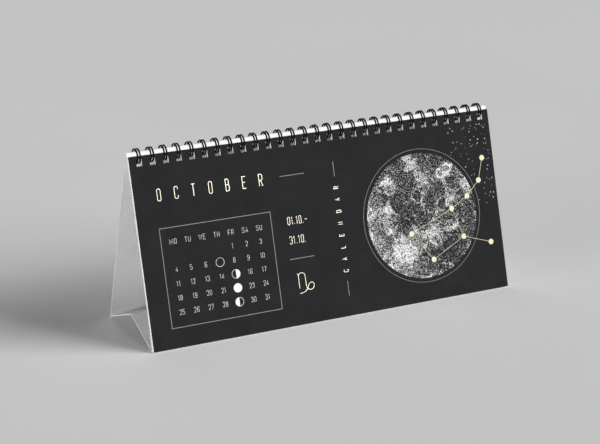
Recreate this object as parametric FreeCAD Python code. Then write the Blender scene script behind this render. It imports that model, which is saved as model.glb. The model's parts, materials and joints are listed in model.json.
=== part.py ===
"""Desk calendar: seven leaves on a twin-loop wire, standing on an easel folded from one sheet of card.

Millimetres, +Z up, +X along the binding, the printed side towards -Y. The origin is the middle of the
footprint of the whole calendar, on the surface that it stands on.

The section across the binding is worked out about the binding axis, the line through the middles of the
wire loops. Leaves and print are drawn flat, x right and y up from the middle of a leaf's top edge, and
the drawing is then leant back against the easel.
"""
import FreeCAD, Part
import math
import os

from FreeCAD import Vector

# Leaves
LEAF_WIDTH = 250.0
LEAF_HEIGHT = 116.7
LEAF_THICKNESS = 0.23
LEAF_COUNT = 7
HOLE_WIDTH = 3.5
HOLE_HEIGHT = 4.25
HOLE_MARGIN = 2.0          # from a leaf's top edge to its holes
END_MARGIN = 4.5           # least distance from a leaf's end to the middle of its first hole
FLOOR_GAP = 0.25           # the leaves end this far above the table

# Wire binding, three loops to the inch
LOOP_PITCH = 25.4 / 3
WIRE = 1.05
TWIN_SPACING = 1.65        # between the middles of a loop's two arms
LINK_BEND = 0.6            # radius of the bend from a link into an arm
CLOSURE_DEG = -12.0        # where the links lie: behind the easel, just below the binding axis
CLOSURE_GAP = 0.15         # between the closed tip of a loop and the links
WIRE_CLEARANCE = 0.08      # between the loops and the holes of the first leaf

# Easel
CARD = 0.6
LEAN_DEG = 15.4            # of the front panel and the leaves, from the upright
BACK_LEAN_DEG = 18.0       # of the back panel
RIDGE_RADIUS = 1.1         # outer radii of the folds
FRONT_RADIUS = 1.1
BACK_RADIUS = 1.2
CREASE_RADIUS = 1.0
CREASE_HEIGHT = 13.4       # top of the raised crease in the base
CREASE_PLACE = 0.483       # where it lies, as a share of the way from the front fold to the back fold
LAP_LENGTH = 12.5          # the sheet's end, glued up behind the front panel
FOLD_FLAT = 0.05           # depth to which the bottom folds are pressed flat
SWING_GAP = 0.12           # between the ridge and the first leaf as it turns over

# Print on the first leaf
INK = 0.03                 # thickness of a printed layer
RULE_LINE = 0.4
FINE_LINE = 0.25
MOON_RADIUS = 40.0
RING_RADIUS = 42.6
RING_RIGHT_MARGIN = 14.8
RING_BOTTOM_MARGIN = 12.2
FRAME_LEFT = 13.3
FRAME_WIDTH = 73.5
FRAME_HEIGHT = 60.4
FRAME_BOTTOM_MARGIN = 11.9
FIRST_COLUMN = 7.95        # the date grid, from the frame's top left corner
FIRST_ROW = 17.05
COLUMN_PITCH = 9.45
ROW_PITCH = 8.57
PHASE_RADIUS = 2.8
PHASE_LINE = 0.22
SHORT_RULE = 16.8
SHORT_RULE_LEFT = 96.0
TITLE_RULE_DROP = 24.1     # below the leaf's top edge
NOTE_RULE_RISE = 41.1      # above the leaf's bottom edge
UPRIGHT_RULE = 9.4
UPRIGHT_RULE_LEFT = 133.5
UPRIGHT_RULE_DROP = 19.5
UPRIGHT_RULE_RISE = 12.5
STAR_RADIUS = 1.8
FIELD_WIDTH = 29.0         # scatter of small stars in the top right corner
FIELD_HEIGHT = 54.0
FIELD_EDGE = 2.5
FIELD_DROP = 9.0
FIELD_COUNT = 130
FIELD_CROWDING = 1.25      # above 1, the small stars crowd towards the corner
SPECK_RADII = (0.18, 0.25, 0.38)
SPECK_CLEARANCE = 1.0

# The star figure's joined stars, (right, up) from the middle of the moon
HANDLE = [(49.0, 31.0), (44.5, 17.0), (34.5, 8.0), (22.0, 1.5)]
BOWL = [(22.0, 1.5), (28.5, -17.5), (4.5, -29.0), (-9.5, -10.5), (22.0, 1.5)]
POINTER = [(28.5, -17.5), (48.5, -24.0)]

lean = math.radians(LEAN_DEG)
back_lean = math.radians(BACK_LEAN_DEG)

# Distances from the binding axis, square to the front panel, and to the back panel
block_thickness = (LEAF_COUNT - 1) * LEAF_THICKNESS
ridge_rise = (block_thickness - SWING_GAP) / (1 - math.sin(lean))
panel_face = RIDGE_RADIUS + ridge_rise * math.sin(lean)
block_face = panel_face + block_thickness
page_face = block_face + LEAF_THICKNESS
loop_radius = math.hypot(HOLE_MARGIN, page_face) + WIRE / 2 + WIRE_CLEARANCE
back_face = RIDGE_RADIUS + ridge_rise * math.sin(back_lean)

# The binding axis is level with the tops of the leaves, so high that they clear the table, and the whole
# footprint lies midway across the origin
axis_height = LEAF_HEIGHT * math.cos(lean) - panel_face * math.sin(lean) + FLOOR_GAP


def fold_reach(face, radius, angle):
    """From the binding axis, along the table, to the middle of a bottom fold that ends a leaning panel."""
    return (face - radius + (axis_height - radius + FOLD_FLAT) * math.sin(angle)) / math.cos(angle)


front_fold_reach = fold_reach(panel_face - CARD, FRONT_RADIUS, lean)
back_fold_reach = fold_reach(back_face, BACK_RADIUS, back_lean)
leaf_reach = LEAF_HEIGHT * math.sin(lean) + page_face * math.cos(lean)
AXIS = Vector(0, (leaf_reach - back_fold_reach - BACK_RADIUS) / 2, axis_height)

loop_count = int((LEAF_WIDTH - 2 * END_MARGIN) / LOOP_PITCH) + 1
loop_places = [(i - (loop_count - 1) / 2) * LOOP_PITCH for i in range(loop_count)]


# ---------------------------------------------------------------- flat drawings, leant back

def leaning_point(distance, drop, angle=lean):
    """Point at a distance in front of the binding axis and a drop below it, in a frame that leans back."""
    normal = Vector(0, -math.cos(angle), math.sin(angle))
    up = Vector(0, math.sin(angle), math.cos(angle))
    return AXIS + normal * distance - up * drop


def leaning(shape, distance, angle=lean):
    """Leans a flat drawing, or what was raised from it, back at a distance from the binding axis."""
    tilt = FreeCAD.Rotation(Vector(1, 0, 0), 90 - math.degrees(angle))
    shape.Placement = FreeCAD.Placement(leaning_point(distance, 0, angle), tilt)
    return shape


def rectangle(left, bottom, width, height):
    """Face of an upright rectangle."""
    right, top = left + width, bottom + height
    corners = [(left, bottom), (right, bottom), (right, top), (left, top)]
    return Part.Face(Part.makePolygon([Vector(x, y, 0) for x, y in corners + corners[:1]]))


def disc(x, y, radius):
    """Face of a round disc."""
    return Part.Face(Part.Wire(Part.makeCircle(radius, Vector(x, y, 0))))


def line(start, end, width):
    """Face of a straight line of print."""
    a, b = Vector(*start, 0), Vector(*end, 0)
    side = (b - a).cross(Vector(0, 0, 1)).normalize() * (width / 2)
    return Part.Face(Part.makePolygon([a + side, b + side, b - side, a - side, a + side]))


def printed(faces):
    """A layer of ink on the first leaf, raised from faces of the flat drawing."""
    drawing = faces[0].multiFuse(faces[1:]).removeSplitter() if len(faces) > 1 else faces[0]
    layers = [face.extrude(Vector(0, 0, INK)) for face in drawing.Faces]
    return leaning(Part.makeCompound(layers), page_face)


# ---------------------------------------------------------------- easel

def straight_run(fold, following):
    """Start, end and leftward direction of the run from one fold to the next, along the card's middle.

    A fold is its middle (y, z), the radius of the card's middle, and its side: +1 where the sheet turns
    left round it, -1 where it turns right. An end of the sheet is a fold of no radius.
    """
    (y1, z1), radius1, side1 = fold
    (y2, z2), radius2, side2 = following
    turn = math.asin((side2 * radius2 - side1 * radius1) / math.hypot(y2 - y1, z2 - z1))
    heading = math.atan2(z2 - z1, y2 - y1) - turn
    left = Vector(0, -math.sin(heading), math.cos(heading))
    return Vector(0, y1, z1) - left * (side1 * radius1), Vector(0, y2, z2) - left * (side2 * radius2), left


def sheet_side(folds, shift):
    """Edges of one face of the folded sheet: the card's middle line moved to the left by shift."""
    runs = [straight_run(*pair) for pair in zip(folds, folds[1:])]
    sides = [(start + left * shift, end + left * shift) for start, end, left in runs]
    edges = [Part.makeLine(*sides[0])]
    for ((y, z), radius, side), before, after in zip(folds[1:], sides, sides[1:]):
        middle = Vector(0, y, z)
        outward = (before[1] + after[0] - middle * 2).normalize()
        crown = middle + outward * (radius - side * shift)
        edges.append(Part.Arc(before[1], crown, after[0]).toShape())
        edges.append(Part.makeLine(*after))
    return edges


def folded_sheet(folds):
    """The stretch of card that follows the folds, as wide as the leaves."""
    left = sheet_side(folds, CARD / 2)
    right = sheet_side(folds, -CARD / 2)
    ends = [Part.makeLine(left[i].Vertexes[i].Point, right[i].Vertexes[i].Point) for i in (0, -1)]
    outline = Part.Wire(Part.__sortEdges__(left + right + ends))
    outline.translate(Vector(-LEAF_WIDTH / 2, 0, 0))
    return Part.Face(outline).extrude(Vector(LEAF_WIDTH, 0, 0))


def hole_faces():
    """Faces of the row of punched holes in a flat drawing."""
    bottom = -HOLE_MARGIN - HOLE_HEIGHT
    return [rectangle(x - HOLE_WIDTH / 2, bottom, HOLE_WIDTH, HOLE_HEIGHT) for x in loop_places]


def panel_holes(face, angle):
    """Solids that fill the row of holes through a panel with its outer face at a distance from the axis."""
    holes = Part.makeCompound([hole.extrude(Vector(0, 0, 2 * CARD)) for hole in hole_faces()])
    return leaning(holes, face - 1.5 * CARD, angle)


def sheet_end(distance, drop):
    """An end of the folded sheet, as a fold of no radius."""
    point = leaning_point(distance, drop)
    return (point.y, point.z), 0, 1


def easel():
    """One folded sheet.

    In order: glued lap, front fold, base flap, raised crease, base flap, back fold, panel, ridge, panel.
    """
    middle = CARD / 2
    floor_drop = (axis_height + (panel_face - CARD) * math.sin(lean)) / math.cos(lean)
    lap_end = sheet_end(panel_face - CARD - middle, floor_drop - LAP_LENGTH)
    panel_end = sheet_end(panel_face - middle, floor_drop)
    front_y, back_y = AXIS.y - front_fold_reach, AXIS.y + back_fold_reach
    front_fold = ((front_y, FRONT_RADIUS - FOLD_FLAT), FRONT_RADIUS - middle, 1)
    back_fold = ((back_y, BACK_RADIUS - FOLD_FLAT), BACK_RADIUS - middle, 1)
    crease_y = front_y + (back_y - front_y) * CREASE_PLACE
    crease = ((crease_y, CREASE_HEIGHT - CREASE_RADIUS), CREASE_RADIUS - middle, -1)
    ridge = ((AXIS.y, axis_height + ridge_rise), RIDGE_RADIUS - middle, 1)
    start, end, _ = straight_run(crease, back_fold)
    half_way = (((start.y + end.y) / 2, (start.z + end.z) / 2), 0, 1)
    sheet = folded_sheet([lap_end, front_fold, crease, half_way])
    sheet = sheet.fuse(folded_sheet([half_way, back_fold, ridge, panel_end]))
    front_holes = panel_holes(panel_face, lean)
    back_holes = panel_holes(back_face, back_lean).mirror(AXIS, Vector(0, 1, 0))
    corner = Vector(-LEAF_WIDTH, -LEAF_HEIGHT, -LEAF_HEIGHT)
    table = Part.makeBox(2 * LEAF_WIDTH, 2 * LEAF_HEIGHT, LEAF_HEIGHT, corner)
    return sheet.cut([table, front_holes, back_holes]).removeSplitter()


# ---------------------------------------------------------------- wire binding

def around(angle):
    """Radius and tangent vectors of the loops at an angle from the level, rising behind the easel."""
    radial = Vector(0, math.cos(angle), math.sin(angle)) * loop_radius
    return radial, Vector(0, -math.sin(angle), math.cos(angle))


def loop_edges(x):
    """Middle line of one twin loop: bend out of a link, arm, closed tip, arm, bend into the next link."""
    closure = math.radians(CLOSURE_DEG)
    first = closure + LINK_BEND / loop_radius
    last = closure + 2 * math.pi - (WIRE + CLOSURE_GAP + TWIN_SPACING / 2) / loop_radius
    root, root_way = around(first)
    side, _ = around((first + last) / 2)
    tip, tip_way = around(last)
    bow = math.sin(math.radians(45)) * LINK_BEND
    arms = []
    for sign in (-1, 1):
        out = Vector(sign, 0, 0)
        foot = AXIS + Vector(x, 0, 0) + out * (TWIN_SPACING / 2 + LINK_BEND) + root
        halfway = foot - out * bow - root_way * bow
        bend = Part.Arc(foot - root_way * LINK_BEND, halfway, foot - out * LINK_BEND)
        middle = AXIS + Vector(x, 0, 0) + out * (TWIN_SPACING / 2)
        arm = Part.Arc(middle + root, middle + side, middle + tip)
        arms.append((bend.toShape(), arm.toShape()))
    end = AXIS + Vector(x, 0, 0) + tip
    across = Vector(TWIN_SPACING / 2, 0, 0)
    closed_tip = Part.Arc(end - across, end + tip_way * (TWIN_SPACING / 2), end + across).toShape()
    return [arms[0][0], arms[0][1], closed_tip, arms[1][1], arms[1][0]]


def wire_binding():
    """One wire: twin loops round the ridge, joined by straight links, with half a link at either end."""
    closure = math.radians(CLOSURE_DEG)
    root, root_way = around(closure + LINK_BEND / loop_radius)
    level = AXIS + root - root_way * LINK_BEND
    reach = TWIN_SPACING / 2 + LINK_BEND
    stops = [loop_places[0] - LOOP_PITCH / 2]
    for x in loop_places:
        stops += [x - reach, x + reach]
    stops.append(loop_places[-1] + LOOP_PITCH / 2)
    points = [level + Vector(x, 0, 0) for x in stops]
    links = [Part.makeLine(a, b) for a, b in zip(points[::2], points[1::2])]
    edges = [links[0]]
    for x, link in zip(loop_places, links[1:]):
        edges += loop_edges(x) + [link]
    path = Part.Wire(edges)
    section = Part.Face(Part.Wire(Part.makeCircle(WIRE / 2, points[0], Vector(1, 0, 0))))
    return path.makePipe(section)


# ---------------------------------------------------------------- leaves and print

def punched_leaves(distance, thickness):
    """A leaf, or a block of leaves, with its row of holes. The distance is that of its back face."""
    sheet = rectangle(-LEAF_WIDTH / 2, -LEAF_HEIGHT, LEAF_WIDTH, LEAF_HEIGHT).cut(hole_faces())
    return leaning(sheet.Faces[0].extrude(Vector(0, 0, thickness)), distance)


moon_x = LEAF_WIDTH / 2 - RING_RIGHT_MARGIN - RING_RADIUS
moon_y = RING_BOTTOM_MARGIN + RING_RADIUS - LEAF_HEIGHT
frame_left = FRAME_LEFT - LEAF_WIDTH / 2
frame_top = FRAME_BOTTOM_MARGIN + FRAME_HEIGHT - LEAF_HEIGHT


def star_figure():
    """Faces of the figure: stars joined by fine lines."""
    chains = [[(moon_x + x, moon_y + y) for x, y in chain] for chain in (HANDLE, BOWL, POINTER)]
    lines = [line(a, b, FINE_LINE) for chain in chains for a, b in zip(chain, chain[1:])]
    stars = [disc(x, y, STAR_RADIUS) for x, y in sorted(set(sum(chains, [])))]
    return lines + stars


def moon_and_ring():
    """Faces of the moon's disc and of the fine ring round it, both open where the figure crosses them."""
    figure = Part.makeCompound(star_figure())
    moon = disc(moon_x, moon_y, MOON_RADIUS)
    outer = disc(moon_x, moon_y, RING_RADIUS + FINE_LINE / 2)
    ring = outer.cut(disc(moon_x, moon_y, RING_RADIUS - FINE_LINE / 2))
    return moon.cut(figure), ring.cut(figure)


def star_field():
    """Faces of small stars strewn over the top right corner, clear of the ring and the figure.

    Squares of whole numbers times an irrational one leave remainders that look strewn at random.
    """
    figure = Part.makeCompound(star_figure())
    stars = []
    for i in range(1, FIELD_COUNT):
        inward = (i * i * math.sqrt(2) % 1) ** FIELD_CROWDING
        down = (i * i * math.sqrt(3) % 1) ** FIELD_CROWDING
        x = LEAF_WIDTH / 2 - FIELD_EDGE - FIELD_WIDTH * inward
        y = -FIELD_DROP - FIELD_HEIGHT * down
        star = disc(x, y, SPECK_RADII[i % len(SPECK_RADII)])
        off_ring = math.hypot(x - moon_x, y - moon_y) > RING_RADIUS + SPECK_CLEARANCE
        apart = all(star.distToShape(other)[0] > SPECK_CLEARANCE for other in [figure] + stars)
        if off_ring and apart:
            stars.append(star)
    return stars


def date_frame():
    """Face of the line round the date grid."""
    outer = rectangle(frame_left, frame_top - FRAME_HEIGHT, FRAME_WIDTH, FRAME_HEIGHT)
    inner = rectangle(frame_left + RULE_LINE, frame_top - FRAME_HEIGHT + RULE_LINE,
                      FRAME_WIDTH - 2 * RULE_LINE, FRAME_HEIGHT - 2 * RULE_LINE)
    return outer.cut(inner)


def phase_signs():
    """Faces of the four phases that stand in the date grid: new, first quarter, full and last quarter."""
    columns = [frame_left + FIRST_COLUMN + i * COLUMN_PITCH for i in range(7)]
    rows = [frame_top - FIRST_ROW - i * ROW_PITCH for i in range(5)]
    new, first_quarter, last_quarter = (-1, 1), (-1, 0), (0, 1)
    signs = [disc(columns[4], rows[3], PHASE_RADIUS)]
    for column, row, (dark_from, dark_to) in ((3, 1, new), (4, 2, first_quarter), (4, 4, last_quarter)):
        x, y = columns[column], rows[row]
        width = (dark_to - dark_from) * PHASE_RADIUS
        dark = rectangle(x + dark_from * PHASE_RADIUS, y - PHASE_RADIUS, width, 2 * PHASE_RADIUS)
        signs.append(disc(x, y, PHASE_RADIUS).cut(disc(x, y, PHASE_RADIUS - PHASE_LINE).common(dark)))
    return signs


def rules():
    """Faces of the short rules: beside the title, under the notes, and at both ends of the upright words."""
    left = SHORT_RULE_LEFT - LEAF_WIDTH / 2
    upright = UPRIGHT_RULE_LEFT - LEAF_WIDTH / 2
    return [rectangle(left, -TITLE_RULE_DROP - RULE_LINE / 2, SHORT_RULE, RULE_LINE),
            rectangle(left, NOTE_RULE_RISE - LEAF_HEIGHT - RULE_LINE / 2, SHORT_RULE, RULE_LINE),
            rectangle(upright - RULE_LINE / 2, -UPRIGHT_RULE_DROP - UPRIGHT_RULE, RULE_LINE, UPRIGHT_RULE),
            rectangle(upright - RULE_LINE / 2, UPRIGHT_RULE_RISE - LEAF_HEIGHT, RULE_LINE, UPRIGHT_RULE)]


def build():
    """Every piece by its name."""
    moon, ring = moon_and_ring()
    return {
        "easel": easel(),
        "wire_binding": wire_binding(),
        "leaf_block": punched_leaves(panel_face, block_thickness),
        "front_leaf": punched_leaves(block_face, LEAF_THICKNESS),
        "print_moon": printed([moon]),
        "print_moon_ring": printed([ring]),
        "print_star_figure": printed(star_figure()),
        "print_star_field": printed(star_field()),
        "print_date_frame": printed([date_frame()]),
        "print_phases": printed(phase_signs()),
        "print_rules": printed(rules()),
    }


os.makedirs("parts", exist_ok=True)
for name, shape in build().items():
    shape.exportStep("parts/" + name + ".step")
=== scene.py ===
"""Looks of a desk calendar: a folded card stand, a black twin loop wire and black printed leaves.

Lengths are in millimetres until MM turns them into metres. The front faces -Y and up is +Z.
"""
import json
import math
import bpy
import numpy as np
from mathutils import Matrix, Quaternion, Vector


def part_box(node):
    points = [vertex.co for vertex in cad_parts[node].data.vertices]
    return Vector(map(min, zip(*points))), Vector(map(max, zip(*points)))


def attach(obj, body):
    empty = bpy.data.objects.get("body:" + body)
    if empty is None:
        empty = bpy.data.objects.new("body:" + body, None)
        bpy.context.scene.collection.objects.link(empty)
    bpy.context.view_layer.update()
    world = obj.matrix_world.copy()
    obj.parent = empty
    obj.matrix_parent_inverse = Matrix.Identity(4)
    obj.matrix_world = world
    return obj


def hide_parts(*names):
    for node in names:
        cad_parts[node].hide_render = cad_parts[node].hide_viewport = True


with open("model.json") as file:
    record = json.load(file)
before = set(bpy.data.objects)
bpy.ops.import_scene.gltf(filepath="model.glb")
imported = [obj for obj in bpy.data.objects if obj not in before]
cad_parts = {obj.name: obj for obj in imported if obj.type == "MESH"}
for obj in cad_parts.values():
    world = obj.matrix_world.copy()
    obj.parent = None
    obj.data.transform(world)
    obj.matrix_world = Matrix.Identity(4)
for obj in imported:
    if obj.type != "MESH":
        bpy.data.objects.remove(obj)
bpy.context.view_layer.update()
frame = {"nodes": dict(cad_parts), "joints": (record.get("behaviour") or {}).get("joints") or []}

MM = 0.001

# ---------------------------------------------------------------- the page

LEAN = math.radians(15.4)           # of the leaves, from the upright
LOOP_PITCH = 25.4 / 3
HOLE_WIDTH = 3.5
HOLE_HEIGHT = 4.25
HOLE_MARGIN = 2.0                   # from a leaf's top edge to its holes

low, high = (np.array(corner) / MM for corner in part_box("front_leaf"))
# A leaning slab's box is height cos + thickness sin high, and height sin + thickness cos deep
slab = [[math.cos(LEAN), math.sin(LEAN)], [math.sin(LEAN), math.cos(LEAN)]]
leaf_height, leaf_thickness = np.linalg.solve(slab, [high[2] - low[2], high[1] - low[1]])
leaf_width = high[0] - low[0]
top_edge = np.array([0.0, low[1] + leaf_height * math.sin(LEAN), high[2]])
page_right = np.array([1.0, 0.0, 0.0])
page_up = np.array([0.0, math.sin(LEAN), math.cos(LEAN)])
page_out = np.array([0.0, -math.cos(LEAN), math.sin(LEAN)])


def on_page(x, y, z):
    """The point that many steps right, up and out of the page from the middle of the front leaf's top edge:
    edge + x right + y up + z out, from millimetres to metres."""
    steps = [np.multiply.outer(np.asarray(step, float), way)
             for step, way in ((x, page_right), (y, page_up), (z, page_out))]
    return (top_edge + steps[0] + steps[1] + steps[2]) * MM


# ---------------------------------------------------------------- meshes

def make_piece(name, points, faces, body, materials, smooth_below=0):
    """A piece of these points and faces that moves with a CAD body. Edges under that angle are smooth."""
    mesh = bpy.data.meshes.new(name)
    mesh.from_pydata(np.reshape(points, (-1, 3)).tolist(), [], faces)
    for material in materials:
        mesh.materials.append(material)
    if smooth_below:
        mesh.shade_smooth()
        mesh.set_sharp_from_angle(angle=math.radians(smooth_below))
    piece = bpy.data.objects.new(name, mesh)
    bpy.context.scene.collection.objects.link(piece)
    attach(piece, body)
    return piece


def grid_faces(rows, columns, closed_rows=False, closed_columns=False):
    """Quads of a grid of points, row by row. A closed direction joins its last line to its first."""
    number = np.arange(rows * columns).reshape(rows, columns)
    if closed_rows:
        number = np.vstack([number, number[:1]])
    if closed_columns:
        number = np.hstack([number, number[:, :1]])
    return np.stack([number[:-1, :-1], number[:-1, 1:], number[1:, 1:], number[1:, :-1]], axis=-1)


def swept_faces(rings, sides, closed=False):
    """Faces of a profile carried along a path, with a flat face at either end unless the path is closed."""
    faces = grid_faces(rings, sides, closed_rows=closed, closed_columns=True).reshape(-1, 4).tolist()
    if not closed:
        last = rings * sides
        faces += [list(range(sides))[::-1], list(range(last - sides, last))]
    return faces


# ---------------------------------------------------------------- materials

def linear(code):
    """An sRGB hex colour as the linear colour that shaders take."""
    parts = [int(code[i:i + 2], 16) / 255 for i in (1, 3, 5)]
    return [p / 12.92 if p <= 0.04045 else ((p + 0.055) / 1.055) ** 2.4 for p in parts] + [1.0]


def add(tree, kind, sockets=None, **settings):
    """A shader node with its settings, its sockets given a value, a node or a node's socket."""
    node = tree.nodes.new("ShaderNode" + kind)
    for name, value in settings.items():
        setattr(node, name, value)
    for name, value in (sockets or {}).items():
        if isinstance(value, bpy.types.Node):
            value = value.outputs[0]
        if isinstance(value, bpy.types.NodeSocket):
            tree.links.new(value, node.inputs[name])
        else:
            node.inputs[name].default_value = value
    return node


def start(name):
    """A new material, its node tree and the Object coordinates that its patterns read."""
    material = bpy.data.materials.new(name)
    material.use_nodes = True
    material.node_tree.nodes.clear()
    return material, material.node_tree, add(material.node_tree, "TexCoord").outputs["Object"]


def close(tree, sockets):
    """Ends a material in a Principled shader with these sockets."""
    add(tree, "OutputMaterial", {"Surface": add(tree, "BsdfPrincipled", sockets)})


def two_tones(tree, pattern, dark, pale):
    """A colour that goes from dark to pale over the values that a noise pattern mostly has."""
    ramp = add(tree, "ValToRGB", {"Fac": pattern})
    for stop, place, colour in zip(ramp.color_ramp.elements, (0.35, 0.65), (dark, pale)):
        stop.position, stop.color = place, linear(colour)
    return ramp


def bleached_board():
    """Bleached board, clay coated on its outer side: there an even cool white, smooth and matte with a faint
    fibre cloud. Its bare reverse, which faces down inside the tent, is greyer, with painted shade that
    darkens it towards the table, and its cut core is greyer still."""
    material, tree, place = start("bleached_board")
    cloud = add(tree, "TexNoise", {"Vector": place, "Scale": 1 / (9 * MM), "Detail": 4.0})
    coated = two_tones(tree, cloud, "#F5F5F5", "#FAFAFA")
    bare = two_tones(tree, cloud, "#F0F0F0", "#F5F5F5")
    fibres = add(tree, "TexNoise", {"Vector": place, "Scale": 1 / (0.5 * MM), "Detail": 3.0})
    core = two_tones(tree, fibres, "#B4B4B3", "#C4C4C3")
    height = add(tree, "SeparateXYZ", {"Vector": place}).outputs["Z"]
    # painted shade: on the faces turned down, grey #DADADA grows towards the table, for the shade low inside
    # the tent
    painted_shade_near_table = add(tree, "MapRange", {0: height, 1: 2 * MM, 2: 34 * MM}, interpolation_type="SMOOTHSTEP")
    bare = add(tree, "Mix", {0: painted_shade_near_table, 6: linear("#DADADA"), 7: bare}, data_type="RGBA").outputs[2]
    facing = add(tree, "SeparateXYZ", {"Vector": add(tree, "NewGeometry").outputs["Normal"]})
    under = add(tree, "Math", {0: facing.outputs["Z"], 1: -0.1}, operation="LESS_THAN")
    skin = add(tree, "Mix", {0: under, 6: coated, 7: bare}, data_type="RGBA").outputs[2]
    cut = add(tree, "Math", {0: facing.outputs["X"]}, operation="ABSOLUTE")
    cut = add(tree, "Math", {0: cut, 1: 0.9}, operation="GREATER_THAN")
    colour = add(tree, "Mix", {0: cut, 6: skin, 7: core}, data_type="RGBA")
    bump = add(tree, "Bump", {"Strength": 0.12, "Distance": 0.04 * MM, "Height": fibres})
    close(tree, {"Base Color": colour.outputs[2], "Roughness": 0.55, "Specular IOR Level": 0.35,
                 "Normal": bump})
    return material


def leaf_paper():
    """Uncoated white 200 g paper, guillotine cut: a soft flat white with visible fibre tooth at its edges."""
    material, tree, place = start("leaf_paper")
    fibres = add(tree, "TexNoise", {"Vector": place, "Scale": 1 / (0.35 * MM), "Detail": 4.0})
    colour = two_tones(tree, fibres, "#F2F2F1", "#FAFAF9")
    bump = add(tree, "Bump", {"Strength": 0.25, "Distance": 0.03 * MM, "Height": fibres})
    close(tree, {"Base Color": colour, "Roughness": 0.8, "Specular IOR Level": 0.25, "Normal": bump})
    return material


def black_printed_paper():
    """Paper with a full cover of black offset ink under matte varnish: a soft charcoal, a little cloudy where
    the ink lies uneven, with the paper's tooth in its dull sheen."""
    material, tree, place = start("black_printed_paper")
    cloud = add(tree, "TexNoise", {"Vector": place, "Scale": 1 / (14 * MM), "Detail": 5.0})
    colour = two_tones(tree, cloud, "#232325", "#272729")
    tooth = add(tree, "TexNoise", {"Vector": place, "Scale": 1 / (0.45 * MM), "Detail": 3.0})
    sheen = add(tree, "MapRange", {0: tooth, 3: 0.72, 4: 0.82})
    bump = add(tree, "Bump", {"Strength": 0.2, "Distance": 0.03 * MM, "Height": tooth})
    close(tree, {"Base Color": colour, "Roughness": sheen, "Specular IOR Level": 0.08, "Normal": bump})
    return material


def nylon_coated_wire():
    """Steel wire with a black nylon coat: deep black with a soft plastic gloss and a faint orange peel."""
    material, tree, place = start("nylon_coated_wire")
    peel = add(tree, "TexNoise", {"Vector": place, "Scale": 1 / (0.6 * MM), "Detail": 2.0})
    colour = two_tones(tree, peel, "#060607", "#0A0A0B")
    gloss = add(tree, "MapRange", {0: peel, 3: 0.34, 4: 0.42})
    bump = add(tree, "Bump", {"Strength": 0.1, "Distance": 0.02 * MM, "Height": peel})
    close(tree, {"Base Color": colour, "Roughness": gloss, "IOR": 1.53, "Specular IOR Level": 0.06,
                 "Normal": bump})
    return material


def flat_ink(name, dark, pale, tooth_size=0.5):
    """Opaque ink printed on the black: a matte film whose colour thins a little over the paper's tooth."""
    material, tree, place = start(name)
    tooth = add(tree, "TexNoise", {"Vector": place, "Scale": 1 / (tooth_size * MM), "Detail": 3.0})
    colour = two_tones(tree, tooth, dark, pale)
    bump = add(tree, "Bump", {"Strength": 0.15, "Distance": 0.02 * MM, "Height": tooth})
    close(tree, {"Base Color": colour, "Roughness": 0.6, "Specular IOR Level": 0.3, "Normal": bump})
    return material


def pale_gold_foil():
    """Hot stamped pale gold foil: a satin metal film whose brightness shifts softly from letter to letter."""
    material, tree, place = start("pale_gold_foil")
    drift = add(tree, "TexNoise", {"Vector": place, "Scale": 1 / (5 * MM), "Detail": 3.0})
    colour = two_tones(tree, drift, "#E2D8BC", "#F8F4E6")
    tooth = add(tree, "TexNoise", {"Vector": place, "Scale": 1 / (0.5 * MM), "Detail": 2.0})
    bump = add(tree, "Bump", {"Strength": 0.25, "Distance": 0.02 * MM, "Height": tooth})
    close(tree, {"Base Color": colour, "Metallic": 0.75, "Roughness": 0.45, "Normal": bump})
    return material


MOON_DOTS = 96.0                    # stippled dots along the moon's radius of 40 mm


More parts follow.
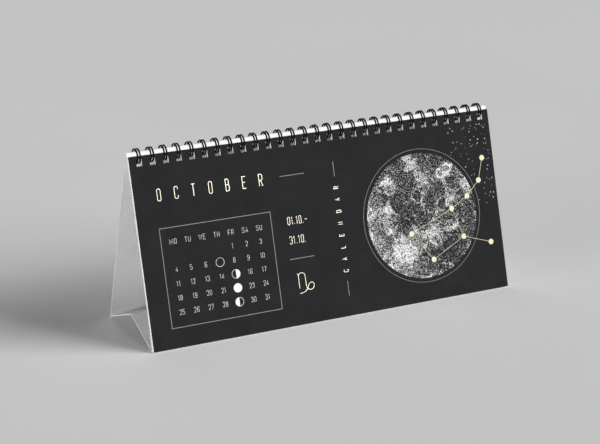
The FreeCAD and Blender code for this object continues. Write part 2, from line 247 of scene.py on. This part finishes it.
def engraved_moon():
    """A moon printed in white stipple on the black page: no even grey, but fine white dots that crowd in the
    bright uplands and thin out in the dark plains, with ringed craters and two dark splashes of rays. Real
    dots are 0.2 mm apart, and these are drawn twice as coarse, because finer ones don't show. Each has a
    size of its own. All patterns lie on the flat disc, with its radius as their unit."""
    material, tree, place = start("engraved_moon")
    low, high = (Vector(corner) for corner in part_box("print_moon"))
    centre = (low + high) / 2
    disc = add(tree, "Mapping", {"Vector": place, "Location": centre, "Rotation": (math.pi / 2 - LEAN, 0, 0),
                                 "Scale": [(high.x - low.x) / 2] * 3}, vector_type="TEXTURE")
    drift = add(tree, "TexNoise", {"Vector": disc, "Scale": 3.2, "Detail": 5.0})
    bent = add(tree, "VectorMath", {0: drift.outputs["Color"], 1: (0.22, 0.22, 0.22), 2: disc},
               operation="MULTIPLY_ADD")
    ground = add(tree, "VectorMath", {0: bent, 1: (1.9, 7.4, 3.3)}, operation="ADD")
    layers = []                     # the tone is their sum: a lit limb, plains, craters and splashes

    def layer(pattern, lowest, highest, weight):
        """Adds a pattern to the tone, as this weight times its place between two of its values."""
        layers.append(add(tree, "MapRange", {0: pattern, 1: lowest, 2: highest, 3: 0.0, 4: weight},
                          interpolation_type="SMOOTHSTEP"))

    limb = add(tree, "VectorMath", {0: disc, 1: (-0.85, -0.5, 0)}, operation="DOT_PRODUCT").outputs["Value"]
    layer(limb, 0.2, 0.95, 0.3)
    plains = ((1.5, 0.47, 0.53, 0.24), (3.0, 0.53, 0.56, 0.36), (9.0, 0.4, 0.65, 0.16))
    for scale, lowest, highest, weight in plains:
        patches = add(tree, "TexNoise", {"Vector": ground, "Scale": scale, "Detail": 4.0})
        layer(patches, lowest, highest, weight)
    craters = ((2.4, 0.3), (5.5, 0.26), (13.0, 0.2))
    for scale, weight in craters:
        cells = add(tree, "TexVoronoi", {"Vector": ground, "Scale": scale}, feature="F1")
        layer(cells, 0.22, 0.2, -1.5 * weight)
        layer(cells, 0.34, 0.22, weight)
    splashes = ((-0.36, 0.02, 0.55, -0.55), (0.36, -0.6, 0.75, -0.4))
    for x, y, reach, weight in splashes:
        ray = add(tree, "VectorMath", {0: disc, 1: (x, y, 0)}, operation="SUBTRACT")
        away = add(tree, "VectorMath", {0: ray}, operation="LENGTH").outputs["Value"]
        heading = add(tree, "VectorMath", {0: ray}, operation="NORMALIZE")
        spokes = add(tree, "TexNoise", {"Vector": heading, "Scale": 6.5, "Detail": 2.0})
        fade = add(tree, "MapRange", {0: away, 1: 0.03, 2: reach, 3: 1.0, 4: 0.0})
        layer(add(tree, "Math", {0: spokes, 1: fade}, operation="MULTIPLY"), 0.27, 0.4, weight)
    tone = layers[0]
    for higher in layers[1:]:
        tone = add(tree, "Math", {0: tone, 1: higher}, operation="ADD")
    # One dot in each cell of the stipple, as large as the tone says, give or take a chance
    dots = add(tree, "TexVoronoi", {"Vector": disc, "Scale": MOON_DOTS}, feature="F1")
    chance = add(tree, "MapRange", {0: dots.outputs["Color"], 3: -0.28, 4: 0.28})
    size = add(tree, "MapRange", {0: tone, 1: -0.05, 2: 1.0, 3: 0.15, 4: 0.68})
    size = add(tree, "Math", {0: size, 1: chance}, operation="ADD")
    edge = add(tree, "Math", {0: size, 1: dots}, operation="SUBTRACT")
    white = add(tree, "MapRange", {0: edge, 1: -0.04, 2: 0.04})
    colour = add(tree, "Mix", {0: white, 6: linear("#242426"), 7: linear("#FBFBFA")}, data_type="RGBA")
    close(tree, {"Base Color": colour.outputs[2], "Roughness": 0.75, "Specular IOR Level": 0.08})
    return material


board = bleached_board()
paper = leaf_paper()
black_page = black_printed_paper()
black_wire = nylon_coated_wire()
gold = pale_gold_foil()
moon = engraved_moon()
cream_ink = flat_ink("cream_ink", "#E6DDB6", "#F3ECCB")
grey_ink = flat_ink("grey_ink", "#D2D2D0", "#E0E0DE")
line_ink = flat_ink("warm_grey_ink", "#86847E", "#98968F")
white_ink = flat_ink("white_ink", "#EFEFEE", "#FAFAF9")
faint_ink = flat_ink("faint_white_ink", "#8E8E8D", "#F4F4F3", tooth_size=2.5)   # each star has its own tone

# ---------------------------------------------------------------- binding wire

WIRE_RADIUS = 0.525
TWIN_SPACING = 1.65                 # between the middles of a loop's two arms
LINK_BEND = 0.6                     # radius of the bend from a link into an arm
CLOSURE = math.radians(-12)         # where the links lie, behind the stand
CLOSURE_GAP = 0.15                  # between the closed tip of a loop and the links
WIRE_SIDES = 16
BEND_RINGS, ARM_RINGS, TIP_RINGS = 6, 48, 7     # along a bend, an arm and half a closed tip

wire_low, wire_high = (np.array(corner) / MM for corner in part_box("wire_binding"))
binding_axis = np.array(frame["joints"][0]["pos_m"]) / MM
loop_radius = wire_high[2] - binding_axis[2] - WIRE_RADIUS
loop_count = round((wire_high[0] - wire_low[0]) / LOOP_PITCH)
loop_places = (np.arange(loop_count) - (loop_count - 1) / 2) * LOOP_PITCH


def wire_binding():
    """One wire. Its line is a point that steps right (x), turns round the binding axis (angle) and slips
    along the loop's tangent (slip): half a link, then for each loop a bend, an arm round the ridge, the
    closed tip as a half circle, the arm back and a bend into the next link. A circle is carried along it."""
    first = CLOSURE + LINK_BEND / loop_radius
    last = CLOSURE + 2 * math.pi - (2 * WIRE_RADIUS + CLOSURE_GAP + TWIN_SPACING / 2) / loop_radius
    bend, tip = np.linspace(0, math.pi / 2, BEND_RINGS), np.linspace(0, math.pi / 2, TIP_RINGS)
    arm = np.linspace(first, last, ARM_RINGS + 2)[1:-1]
    half = TWIN_SPACING / 2
    x = np.concatenate([-half - LINK_BEND * (1 - np.sin(bend)), np.full(arm.size, -half),
                        -half * np.cos(tip)])
    angle = np.concatenate([np.full(bend.size, first), arm, np.full(tip.size, last)])
    slip = np.concatenate([-LINK_BEND * np.cos(bend), np.zeros(arm.size), half * np.sin(tip)])
    x = np.concatenate([x, -x[-2::-1]])
    angle = np.concatenate([angle, angle[-2::-1]])
    slip = np.concatenate([slip, slip[-2::-1]])
    x = np.concatenate([wire_low[:1], np.add.outer(loop_places, x).ravel(), wire_high[:1]])
    angle = np.concatenate([[first], np.tile(angle, loop_count), [first]])
    slip = np.concatenate([[-LINK_BEND], np.tile(slip, loop_count), [-LINK_BEND]])
    radial = np.stack([0 * angle, np.cos(angle), np.sin(angle)], axis=1)
    tangent = np.stack([0 * angle, -np.sin(angle), np.cos(angle)], axis=1)
    line = binding_axis * [0, 1, 1] + x[:, None] * page_right
    line = line + loop_radius * radial + slip[:, None] * tangent
    way = np.gradient(line, axis=0)
    way /= np.linalg.norm(way, axis=1, keepdims=True)
    side = np.cross(way, radial)
    turn = np.linspace(0, 2 * math.pi, WIRE_SIDES, endpoint=False)[None, :, None]
    rings = line[:, None] + WIRE_RADIUS * (np.cos(turn) * radial[:, None] + np.sin(turn) * side[:, None])
    piece = make_piece("binding_wire", rings * MM, swept_faces(len(line), WIRE_SIDES),
                       "stand", [black_wire], smooth_below=50)
    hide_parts("wire_binding")
    piece.visible_shadow = False    # in light this soft, a wire this thin leaves no streaks of shade


wire_binding()

# ---------------------------------------------------------------- leaves

BLOCK_SHEETS = 6
LEAF_GAP = 0.08                     # air between two leaves of the block
LEAF_LINES = 24                     # lines of a leaf's grid, from its foot to its holes
hole_edges = np.add.outer(loop_places, [-HOLE_WIDTH / 2, HOLE_WIDTH / 2]).ravel()


def punched_leaf(name, face, thickness, body, materials):
    """A leaf with its punched holes: a grid whose lines run along the edges of the holes, less the cells in
    them, with its front at a height off the front leaf's face, then given its thickness. The first material
    is its front, the second its back and its cut edges."""
    x = np.concatenate([[-leaf_width / 2], hole_edges, [leaf_width / 2]])
    holes_foot = -HOLE_MARGIN - HOLE_HEIGHT
    y = np.concatenate([np.linspace(-leaf_height, holes_foot, LEAF_LINES), [-HOLE_MARGIN, 0]])
    faces = grid_faces(y.size, x.size)
    solid = np.ones(faces.shape[:2], bool)
    solid[-2, 1:-1:2] = False
    across, along = np.meshgrid(x, y)
    piece = make_piece(name, on_page(across, along, np.full(across.shape, face)),
                       faces[solid].tolist(), body, materials)
    shell = piece.modifiers.new("thickness", "SOLIDIFY")
    shell.thickness, shell.offset = thickness * MM, -1
    shell.material_offset = shell.material_offset_rim = 1
    return piece


front = punched_leaf("front_sheet", 0.0, leaf_thickness, "turning_leaf", [black_page, paper])
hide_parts("front_leaf")
for i in range(BLOCK_SHEETS):
    sheet = punched_leaf(f"block_sheet_{i + 1}", -(i + 1) * leaf_thickness - LEAF_GAP / 2,
                         leaf_thickness - LEAF_GAP, "stand", [black_page, paper])
    if i == 0:
        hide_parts("leaf_block")

# ---------------------------------------------------------------- lettering

INK = 0.02                          # thickness of the lettering
SUNK = 0.005                        # depth to which it is pressed into the paper
STROKE_RISE = 0.25                  # share by which a stroke thickens from its start to its end
STEP_RISE = 0.05                    # share by which a stroke is thicker than the one before it
STEPS = 3                           # strokes before the thickness starts again
CORNER_POINTS = 7                   # along a rounded corner
MITRE_LIMIT = 0.3                   # keeps the corner of a sharp turn from running out far
SAME_PLACE = 1e-4                   # a point this near to the one before it is left out

# Each sign is a list of strokes in a box one wide and one high. A third number rounds that corner, where
# 1 lets the curve start half way along the shorter side. A stroke that ends where it starts is closed.
ROUND_O = [(0, 0.5), (0, 1, 1), (1, 1, 1), (1, 0, 1), (0, 0, 1), (0, 0.5)]
SIGNS = {
    "A": [[(0, 0), (0.5, 1), (1, 0)], [(0.22, 0.32), (0.78, 0.32)]],
    "B": [[(0, 0.52), (0, 1), (0.92, 1, 1), (0.92, 0.52, 1), (0, 0.52), (0, 0), (1, 0, 1), (1, 0.52, 1),
           (0.4, 0.52)]],
    "C": [[(1, 0.76), (1, 1, 1), (0, 1, 1), (0, 0, 1), (1, 0, 1), (1, 0.24)]],
    "D": [[(0, 0.5), (0, 1), (1, 1, 1), (1, 0, 1), (0, 0), (0, 0.5)]],
    "E": [[(1, 1), (0, 1), (0, 0), (1, 0)], [(0, 0.52), (0.85, 0.52)]],
    "F": [[(1, 1), (0, 1), (0, 0)], [(0, 0.5), (0.85, 0.5)]],
    "H": [[(0, 0), (0, 1)], [(1, 0), (1, 1)], [(0, 0.5), (1, 0.5)]],
    "L": [[(0, 1), (0, 0), (1, 0)]],
    "M": [[(0, 0), (0, 1), (0.5, 0.3), (1, 1), (1, 0)]],
    "N": [[(0, 0), (0, 1), (1, 0), (1, 1)]],
    "O": [ROUND_O],
    "R": [[(0, 0), (0, 1), (1, 1, 1), (1, 0.48, 1), (0, 0.48)], [(0.5, 0.48), (1, 0)]],
    "S": [[(1, 0.78), (1, 1, 1), (0, 1, 1), (0, 0.52, 1), (1, 0.52, 1), (1, 0, 1), (0, 0, 1), (0, 0.22)]],
    "T": [[(0, 1), (1, 1)], [(0.5, 1), (0.5, 0)]],
    "U": [[(0, 1), (0, 0, 1), (1, 0, 1), (1, 1)]],
    "V": [[(0, 1), (0.5, 0), (1, 1)]],
    "W": [[(0, 1), (0.25, 0), (0.5, 0.8), (0.75, 0), (1, 1)]],
    "0": [ROUND_O],
    "1": [[(0, 0.8), (0.6, 1), (0.6, 0)]],
    "2": [[(0, 0.76), (0, 1, 1), (1, 1, 1), (1, 0.6, 0.7), (0, 0), (1, 0)]],
    "3": [[(0, 0.78), (0, 1, 1), (1, 1, 1), (1, 0.53, 1), (0.35, 0.53)],
          [(0.35, 0.53), (1, 0.53, 1), (1, 0, 1), (0, 0, 1), (0, 0.22)]],
    "4": [[(0.75, 0), (0.75, 1), (0, 0.26), (1, 0.26)]],
    "5": [[(1, 1), (0, 1), (0, 0.58), (1, 0.58, 1), (1, 0, 1), (0, 0, 1), (0, 0.22)]],
    "6": [[(1, 0.8), (1, 1, 1), (0, 1, 1), (0, 0, 1), (1, 0, 1), (1, 0.56, 1), (0.1, 0.56)]],
    "7": [[(0, 1), (1, 1), (0.35, 0)]],
    "8": [[(0.5, 0.53), (0.04, 0.53, 1), (0.04, 1, 1), (0.96, 1, 1), (0.96, 0.53, 1), (0.5, 0.53)],
          [(0.5, 0.53), (1, 0.53, 1), (1, 0, 1), (0, 0, 1), (0, 0.53, 1), (0.5, 0.53)]],
    "9": [[(0, 0.2), (0, 0, 1), (1, 0, 1), (1, 1, 1), (0, 1, 1), (0, 0.44, 1), (0.9, 0.44)]],
    ".": [[(0, 0.05), (1, 0.05)]],
    "-": [[(0, 0.45), (1, 0.45)]],
    # the sea goat of the sky's old signs: a stem, then an arch that runs into a loop and ends in a tail
    "goat": [[(0, 1), (0.05, 0.95, 1), (0.06, 0.26)],
             [(0.05, 0.74), (0.07, 1.02, 1), (0.5, 1.02, 1), (0.49, 0.6, 1), (0.54, 0.14, 1), (0.96, 0.1, 1),
              (1.06, 0.44, 1), (0.74, 0.5, 1), (0.5, 0.06, 1), (0.05, 0)]],
}
WIDE = {"M": 1.5, "W": 1.45, "1": 0.6, ".": 0.22}      # widths other than 1


def rounded(corners):
    """A stroke's line: at each rounded corner P, between the points A and B on its two sides, it runs
    through P + (A - P)(1 - sin t) + (B - P)(1 - cos t), a quarter of an ellipse."""
    line = [np.array([corners[0][:2]], float)]
    t = np.linspace(0, math.pi / 2, CORNER_POINTS)[:, None]
    for before, corner, after in zip(corners, corners[1:], corners[2:]):
        here, back, ahead = (np.array(point[:2], float) for point in (corner, before, after))
        back, ahead = back - here, ahead - here
        reach = min(np.linalg.norm(back), np.linalg.norm(ahead)) / 2 * (corner[2] if len(corner) > 2 else 0)
        if reach:
            back *= reach / np.linalg.norm(back)
            ahead *= reach / np.linalg.norm(ahead)
            line.append(here + back * (1 - np.sin(t)) + ahead * (1 - np.cos(t)))
        else:
            line.append(here[None])
    return np.concatenate(line + [np.array([corners[-1][:2]], float)])


def word(text, x, y, height, width, gap, align=0.5, turned=False):
    """Lines of a word's strokes on the page: its signs stand one after the other, a gap apart, and the point
    at the share align of its length and half its height is at (x, y). A turned word reads upwards."""
    signs = [text] if text in SIGNS else list(text)
    widths = np.array([width * WIDE.get(sign, 1.0) for sign in signs])
    starts = np.cumsum(widths + gap) - widths - gap - align * (widths.sum() + gap * (len(signs) - 1))
    lines = []
    for sign, left, wide in zip(signs, starts, widths):
        for stroke in SIGNS[sign]:
            line = rounded([(left + c[0] * wide, (c[1] - 0.5) * height, *c[2:]) for c in stroke])
            across, along = (-line[:, 1], line[:, 0]) if turned else (line[:, 0], line[:, 1])
            lines.append(np.stack([x + across, y + along], axis=1))
    return lines


def bar(line, weight, step):
    """Points of a flat bar along a line: at each point a rectangle whose two sides lie half the weight from
    the line, mitred where it turns. It thickens a little from start to end and from step to step, so that
    bars that cross don't share a face."""
    closed = bool(np.allclose(line[0], line[-1]))
    line = line[:-1] if closed else line
    line = line[np.linalg.norm(line - np.roll(line, 1, axis=0), axis=1) > SAME_PLACE]
    ahead = np.roll(line, -1, axis=0) - line
    ahead[-1] = ahead[-1] if closed else ahead[-2]
    ahead = np.stack([-ahead[:, 1], ahead[:, 0]], axis=1) / np.linalg.norm(ahead, axis=1, keepdims=True)
    behind = np.roll(ahead, 1, axis=0)
    behind[0] = behind[0] if closed else ahead[0]
    aside = (ahead + behind) / np.maximum(1 + (ahead * behind).sum(axis=1, keepdims=True), MITRE_LIMIT)
    left, right = line + aside * weight / 2, line - aside * weight / 2
    top = INK * (1 + STEP_RISE * step + np.linspace(0, STROKE_RISE, len(line)))
    low = np.full(len(line), -SUNK)
    corners = [(right, low), (left, low), (left, top), (right, top)]
    return np.stack([np.column_stack(corner) for corner in corners], axis=1), closed


def lettering(name, lines, weight, body, material, depth=0.0):
    """Strokes printed on the page, or on a sheet that lies that deep behind it, as one piece."""
    points, faces = [], []
    for step, line in enumerate(lines):
        rings, closed = bar(line, weight, step % STEPS)
        offset = 4 * sum(len(done) for done in points)
        faces += [[offset + corner for corner in face] for face in swept_faces(len(rings), 4, closed)]
        points.append(rings)
    x, y, z = np.concatenate(points).reshape(-1, 3).T
    return make_piece(name, on_page(0, 0, -depth) + (on_page(x, y, z) - on_page(0, 0, 0)), faces,
                      body, [material])


# Places on a leaf are right of its left edge and a drop below its top edge, or a rise above its foot
COLUMN_PITCH = 9.45
ROW_PITCH = 8.57
FIRST_COLUMN = 21.25                # middle of the first weekday
HEADER_DROP = 53.1                  # middle of the weekdays
FIRST_ROW_DROP = 61.45              # middle of the first row of dates
TITLE_MIDDLE, TITLE_DROP = 49.6, 24.5
TITLE_SPAN = 66.9                   # from the middle of a title's first sign to the middle of its last
NOTES_LEFT, NOTE_DROPS = 97.6, (52.0, 63.9)
GOAT_MIDDLE, GOAT_DROP = 104.8, 91.2
UPRIGHT_MIDDLE, UPRIGHT_DROP = 133.5, 62.1

# Sizes of the signs, and the weights of their strokes
TITLE = {"height": 7.2, "width": 2.2}
WEEKDAY = {"height": 3.1, "width": 1.35, "gap": 0.95}
DATE = {"height": 3.0, "width": 1.2, "gap": 0.7}
NOTE = {"height": 4.7, "width": 1.5, "gap": 1.05}
GOAT = {"height": 12.4, "width": 10.4, "gap": 0}
UPRIGHT = {"height": 3.1, "width": 1.3, "gap": 6.2}
WEIGHT = {"title": 0.44, "weekdays": 0.23, "dates": 0.23, "notes": 0.32, "sign": 0.38, "upright": 0.36}


def month(label, title, first_column, days, bare, notes, body, depth=0.0):
    """The words and numbers of one month's leaf: its name, weekdays, dates less those in bare, notes, sign
    and upright word. Its first day stands in that column, counted from 0."""
    left = -leaf_width / 2
    columns = left + FIRST_COLUMN + COLUMN_PITCH * np.arange(7)
    title_gap = TITLE_SPAN / (len(title) - 1) - TITLE["width"]
    name = word(title, left + TITLE_MIDDLE, -TITLE_DROP, gap=title_gap, **TITLE)
    heads = [line for x, day in zip(columns, ("MO", "TU", "WE", "TH", "FR", "SA", "SU"))
             for line in word(day, x, -HEADER_DROP, **WEEKDAY)]
    dates = []
    for day in range(1, days + 1):
        row, column = divmod(day - 1 + first_column, 7)
        if day not in bare:
            dates += word(str(day), columns[column], -FIRST_ROW_DROP - row * ROW_PITCH, **DATE)
    side = [line for text, drop in zip(notes, NOTE_DROPS)
            for line in word(text, left + NOTES_LEFT, -drop, align=0, **NOTE)]
    sign = word("goat", left + GOAT_MIDDLE, -GOAT_DROP, **GOAT)
    upright = word("CALENDAR", left + UPRIGHT_MIDDLE, -UPRIGHT_DROP, turned=True, **UPRIGHT)
    for part, lines, slot, ink in (("title", name, "gold_print", gold),
                                   ("weekdays", heads, "grey_print", grey_ink),
                                   ("dates", dates, "grey_print", grey_ink),
                                   ("notes", side, "gold_print", gold),
                                   ("sign", sign, "gold_print", gold),
                                   ("upright", upright, "gold_print", gold)):
        lettering(f"{label}_{part}", lines, WEIGHT[part], body, ink, depth)


month("october", "OCTOBER", 4, 31, (7, 15, 22, 29), ("01.10.-", "31.10."), "turning_leaf")

# The next leaf of the block, which shows when the front leaf is turned over
NEXT_DEPTH = leaf_thickness + LEAF_GAP / 2
FRAME_SIDES, FRAME_RISES = (13.5, 86.6), (12.1, 72.1)
RULE_LINE, FINE_LINE = 0.4, 0.25
SHORT_RULE = (96.0, 112.8)          # from its left to its right end
TITLE_RULE_DROP, NOTE_RULE_RISE = 24.1, 41.1
UPRIGHT_RULE = 9.4                  # length
UPRIGHT_RULE_DROP, UPRIGHT_RULE_RISE = 19.5, 12.5
MOON_RADIUS, RING_RADIUS = 40.0, 42.6
MOON_INSET, MOON_RISE = 57.4, 54.8  # the moon's middle, from the leaf's right edge and foot
MOON_RINGS = 5
ROUND_SIDES = 96


def circle(x, y, radius):
    """The closed line of a circle: (x + radius cos t, y + radius sin t)."""
    turn = np.linspace(0, 2 * math.pi, ROUND_SIDES + 1)
    return np.stack([x + radius * np.cos(turn), y + radius * np.sin(turn)], axis=1)


def next_page_figures():
    """The next leaf's frame, rules and ring as thin lines, and its moon: rings of points round its middle."""
    left, foot = -leaf_width / 2, -leaf_height
    x, y = leaf_width / 2 - MOON_INSET, foot + MOON_RISE
    corners = [(FRAME_SIDES[i], FRAME_RISES[j]) for i, j in ((0, 0), (0, 1), (1, 1), (1, 0), (0, 0))]
    lines = [np.array(corners) + (left, foot)]
    for drop in (TITLE_RULE_DROP, leaf_height - NOTE_RULE_RISE):
        lines.append(np.array([(end, -drop) for end in SHORT_RULE]) + (left, 0))
    for drop in (UPRIGHT_RULE_DROP + UPRIGHT_RULE, leaf_height - UPRIGHT_RULE_RISE):
        lines.append(np.array([(UPRIGHT_MIDDLE, -drop), (UPRIGHT_MIDDLE, UPRIGHT_RULE - drop)]) + (left, 0))
    lettering("november_lines", lines, RULE_LINE, "stand", line_ink, NEXT_DEPTH)
    ring = [circle(x, y, RING_RADIUS)]
    lettering("november_ring", ring, FINE_LINE, "stand", line_ink, NEXT_DEPTH)
    radii = np.linspace(0, MOON_RADIUS, MOON_RINGS + 1)[1:]
    flat = np.concatenate([np.full((1, 2), (x, y))] + [circle(x, y, radius)[:-1] for radius in radii])
    fan = [[0, 1 + i, 1 + (i + 1) % ROUND_SIDES] for i in range(ROUND_SIDES)]
    bands = grid_faces(MOON_RINGS, ROUND_SIDES, closed_columns=True)[..., ::-1] + 1
    make_piece("november_moon", on_page(flat[:, 0], flat[:, 1], np.full(len(flat), 0.5 * INK - NEXT_DEPTH)),
               fan + bands.reshape(-1, 4).tolist(), "stand", [moon])


month("november", "NOVEMBER", 0, 30, (), ("01.11.-", "30.11."), "stand", NEXT_DEPTH)
next_page_figures()

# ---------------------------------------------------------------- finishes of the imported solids

for node, material in {"easel": board, "print_moon": moon, "print_moon_ring": line_ink,
                       "print_star_figure": cream_ink, "print_star_field": faint_ink,
                       "print_date_frame": line_ink, "print_phases": white_ink,
                       "print_rules": line_ink}.items():
    for finish in frame["nodes"][node].material_slots:
        finish.material = material

# ---------------------------------------------------------------- camera, lamps and floor

def aim(thing, place, target, roll=0.0):
    """Puts a camera or a lamp at a place and turns it to a target, with a roll in degrees."""
    thing.location = place
    turn = (Vector(target) - Vector(place)).to_track_quat("-Z", "Y")
    thing.rotation_mode = "QUATERNION"
    thing.rotation_quaternion = turn @ Quaternion((0, 0, 1), math.radians(roll))


def direction(azimuth, elevation):
    """The unit vector towards an azimuth, counted from the front to the right, and an elevation."""
    a, e = math.radians(azimuth), math.radians(elevation)
    return Vector((math.sin(a) * math.cos(e), -math.cos(a) * math.cos(e), math.sin(e)))


CAMERA_LENS = 102.53
CAMERA_AZIMUTH, CAMERA_ELEVATION, CAMERA_ROLL = -26.855, 17.678, -0.334
CAMERA_DISTANCE = 1.0746            # metres
target = Vector((-0.01, -0.00128, 0.0551))

camera = bpy.data.objects.new("camera", bpy.data.cameras.new("camera"))
bpy.context.scene.collection.objects.link(camera)
camera.data.lens = CAMERA_LENS
camera_place = target + direction(CAMERA_AZIMUTH, CAMERA_ELEVATION) * CAMERA_DISTANCE
aim(camera, camera_place, target, CAMERA_ROLL)
bpy.context.scene.camera = camera


def softbox(name, azimuth, elevation, distance, width, height, level):
    """A lamp that would light a surface turned to it at this level, where 1 shows a colour as written: its
    power is (pi x distance) squared x level. Its distance and size are in metres."""
    lamp = bpy.data.lights.new(name, "AREA")
    lamp.shape, lamp.size, lamp.size_y = "RECTANGLE", width, height
    lamp.energy = (math.pi * distance) ** 2 * level
    holder = bpy.data.objects.new(name, lamp)
    holder.visible_camera = False
    bpy.context.scene.collection.objects.link(holder)
    aim(holder, target + direction(azimuth, elevation) * distance, target)


softbox("key", azimuth=51, elevation=24, distance=40.0, width=27.0, height=23.0, level=1.05)
softbox("fill", azimuth=-76, elevation=1.9, distance=20.0, width=10.7, height=1.1, level=1.12)
softbox("back", azimuth=180, elevation=1.6, distance=20.0, width=12.0, height=0.9, level=0.3)
AMBIENT = 0.06                      # level of the light from all round
FLOOR_HALF = 4.0                    # half the floor's width, metres
FLOOR_LIFT = 0.07                   # how much paler the floor is seen than it lights


def seen_rays(tree):
    """1 on a ray that sees or mirrors a surface, and 0 on one that only carries its light."""
    rays = add(tree, "LightPath").outputs
    mirrored = add(tree, "Math", {0: rays["Is Glossy Ray"], 1: rays["Is Transmission Ray"]},
                   operation="MAXIMUM")
    return add(tree, "Math", {0: rays["Is Camera Ray"], 1: mirrored}, operation="MAXIMUM")


world = bpy.data.worlds.new("studio")
bpy.context.scene.world = world
world.use_nodes = True
tree = world.node_tree
tree.nodes.clear()
seen = seen_rays(tree)
colour = add(tree, "Mix", {0: seen, 6: linear("#FFFFFF"), 7: linear("#C6C6C6")}, data_type="RGBA")
strength = add(tree, "MapRange", {0: seen, 3: AMBIENT, 4: 1.0})
add(tree, "OutputWorld", {"Surface": add(tree, "Background", {"Color": colour.outputs[2],
                                                              "Strength": strength})})


def plain_floor():
    """Pale seamless paper: one flat sheet, a faint cloud in its tone, seen a little paler than it lights."""
    material, tree, place = start("seamless_paper")
    cloud = add(tree, "TexNoise", {"Vector": place, "Scale": 3.0, "Detail": 1.0})
    seen = seen_rays(tree)
    close(tree, {"Base Color": two_tones(tree, cloud, "#FBFBFB", "#FDFDFD"), "Roughness": 0.9,
                 "Specular IOR Level": 0.1, "Emission Color": linear("#FFFFFF"),
                 "Emission Strength": add(tree, "MapRange", {0: seen, 3: 0.0, 4: FLOOR_LIFT})})
    mesh = bpy.data.meshes.new("floor")
    corners = [(x * FLOOR_HALF, y * FLOOR_HALF, 0) for x, y in ((-1, -1), (1, -1), (1, 1), (-1, 1))]
    mesh.from_pydata(corners, [], [(0, 1, 2, 3)])
    mesh.materials.append(material)
    floor = bpy.data.objects.new("floor", mesh)
    bpy.context.scene.collection.objects.link(floor)


plain_floor()
bpy.context.scene.view_settings.view_transform = "Standard"
